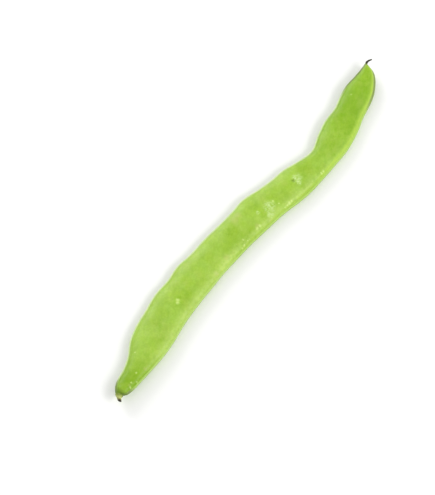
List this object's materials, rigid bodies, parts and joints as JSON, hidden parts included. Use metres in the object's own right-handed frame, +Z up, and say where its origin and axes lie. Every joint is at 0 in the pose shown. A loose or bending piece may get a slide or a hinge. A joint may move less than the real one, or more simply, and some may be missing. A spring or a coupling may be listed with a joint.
{
  "type": "green bean",
  "caption": "Flat green bean pod lying on its broad side, with a wavy outline, soft seed bulges, grooved seams, a short stem stub and a thin dried hook at the tip.",
  "frame": {"origin": "under the middle of the bean's bounding box, on the surface that it rests on", "axes": "+X along the pod from the stem end to the beak, +Y across it towards the back seam, +Z up from its resting side"},
  "size_m": [0.2281, 0.0366, 0.0084],
  "materials": {
    "pod_skin": "satin",
    "stem_tissue": "matte",
    "dried_tissue": "matte"
  },
  "bodies": {
    "root": {"pod": "pod_skin", "stem_stub": "stem_tissue", "dried_style": "dried_tissue"}
  },
  "joints": []
}
